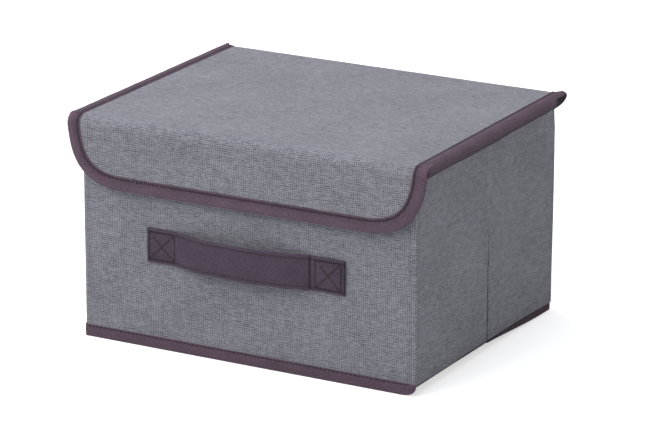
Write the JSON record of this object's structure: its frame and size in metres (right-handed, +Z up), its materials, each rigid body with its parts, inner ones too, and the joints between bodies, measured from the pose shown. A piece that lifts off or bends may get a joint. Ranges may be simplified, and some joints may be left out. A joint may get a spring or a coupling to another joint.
{
  "type": "collapsible fabric storage box",
  "caption": "Collapsible fabric storage box with a hinged lid, a rounded flap over the front, a sewn strap handle, folding side walls and a folding base.",
  "frame": {"origin": "on the table under the middle of the whole box, lid binding and handle included", "axes": "+X to the right seen from the front, -Y towards the front with the handle, +Z up"},
  "size_m": [0.2792, 0.2182, 0.1619],
  "materials": {
    "outer_fabric": "linen-look weave, matte",
    "lining": "thin non-woven cloth, matte",
    "base_cloth": "thin non-woven cloth, matte",
    "binding_tape": "folded binding tape, matte",
    "strap": "folded and sewn strap, matte",
    "thread": "sewing thread",
    "cardboard": "grey-brown board, uncoated"
  },
  "bodies": {
    "front_wall": {"front_outer_fabric": "outer_fabric", "front_board": "cardboard", "front_lining": "lining", "front_rim_binding": "binding_tape", "front_bottom_binding": "binding_tape", "handle_strap": "strap", "handle_left_stitching": "thread", "handle_right_stitching": "thread"},
    "base_front_leaf": {"base_front_board": "cardboard", "base_front_lining": "lining", "base_front_cover": "base_cloth", "base_front_right_binding": "binding_tape", "base_front_left_binding": "binding_tape"},
    "base_rear_leaf": {"base_rear_board": "cardboard", "base_rear_lining": "lining", "base_rear_cover": "base_cloth", "base_rear_right_binding": "binding_tape", "base_rear_left_binding": "binding_tape", "base_rear_binding": "binding_tape"},
    "right_front_wall": {"right_front_outer_fabric": "outer_fabric", "right_front_board": "cardboard", "right_front_lining": "lining", "right_front_rim_binding": "binding_tape"},
    "right_rear_wall": {"right_rear_outer_fabric": "outer_fabric", "right_rear_board": "cardboard", "right_rear_lining": "lining", "right_rear_rim_binding": "binding_tape"},
    "left_front_wall": {"left_front_outer_fabric": "outer_fabric", "left_front_board": "cardboard", "left_front_lining": "lining", "left_front_rim_binding": "binding_tape"},
    "left_rear_wall": {"left_rear_outer_fabric": "outer_fabric", "left_rear_board": "cardboard", "left_rear_lining": "lining", "left_rear_rim_binding": "binding_tape"},
    "back_wall": {"back_outer_fabric": "outer_fabric", "back_board": "cardboard", "back_lining": "lining"},
    "lid": {"lid_outer_fabric": "outer_fabric", "lid_board": "cardboard", "lid_lining": "lining", "lid_right_binding": "binding_tape", "lid_left_binding": "binding_tape"},
    "lid_flap": {"flap_outer_fabric": "outer_fabric", "flap_board": "cardboard", "flap_lining": "lining", "flap_binding": "binding_tape"}
  },
  "joints": [
    {"name": "base_lift", "type": "hinge", "parent": "front_wall", "child": "base_front_leaf", "pos_m": [0, -0.0955, 0.0065], "axis": [1, 0, 0], "range_deg": [0, 90]},
    {"name": "base_crease", "type": "hinge", "parent": "base_front_leaf", "child": "base_rear_leaf", "pos_m": [0, 0.0068, 0.0031], "axis": [-1, 0, 0], "range_deg": [0, 180]},
    {"name": "side_fold", "type": "hinge", "parent": "front_wall", "child": "right_front_wall", "pos_m": [0.127, -0.0883, 0.08], "axis": [0, 0, 1], "range_deg": [0, 89]},
    {"name": "right_crease", "type": "hinge", "parent": "right_front_wall", "child": "right_rear_wall", "pos_m": [0.1306, 0.00855, 0.08], "axis": [0, 0, -1], "range_deg": [0, 178]},
    {"name": "right_rear_corner", "type": "hinge", "parent": "right_rear_wall", "child": "back_wall", "pos_m": [0.127, 0.1054, 0.08], "axis": [0, 0, 1], "range_deg": [0, 89]},
    {"name": "left_front_corner", "type": "hinge", "parent": "front_wall", "child": "left_front_wall", "pos_m": [-0.127, -0.0883, 0.08], "axis": [0, 0, -1], "range_deg": [0, 89]},
    {"name": "left_crease", "type": "hinge", "parent": "left_front_wall", "child": "left_rear_wall", "pos_m": [-0.1306, 0.00855, 0.08], "axis": [0, 0, 1], "range_deg": [0, 178]},
    {"name": "lid_hinge", "type": "hinge", "parent": "back_wall", "child": "lid", "pos_m": [0, 0.1091, 0.1615], "axis": [-1, 0, 0], "range_deg": [0, 210]},
    {"name": "flap_crease", "type": "hinge", "parent": "lid", "child": "lid_flap", "pos_m": [0, -0.1029, 0.1615], "axis": [-1, 0, 0], "range_deg": [0, 175]}
  ],
  "couplings": [
    {"joint": "base_crease", "follows": "base_lift", "ratio": 2},
    {"joint": "right_crease", "follows": "side_fold", "ratio": 2},
    {"joint": "right_rear_corner", "follows": "side_fold", "ratio": 1},
    {"joint": "left_front_corner", "follows": "side_fold", "ratio": 1},
    {"joint": "left_crease", "follows": "side_fold", "ratio": 2}
  ]
}
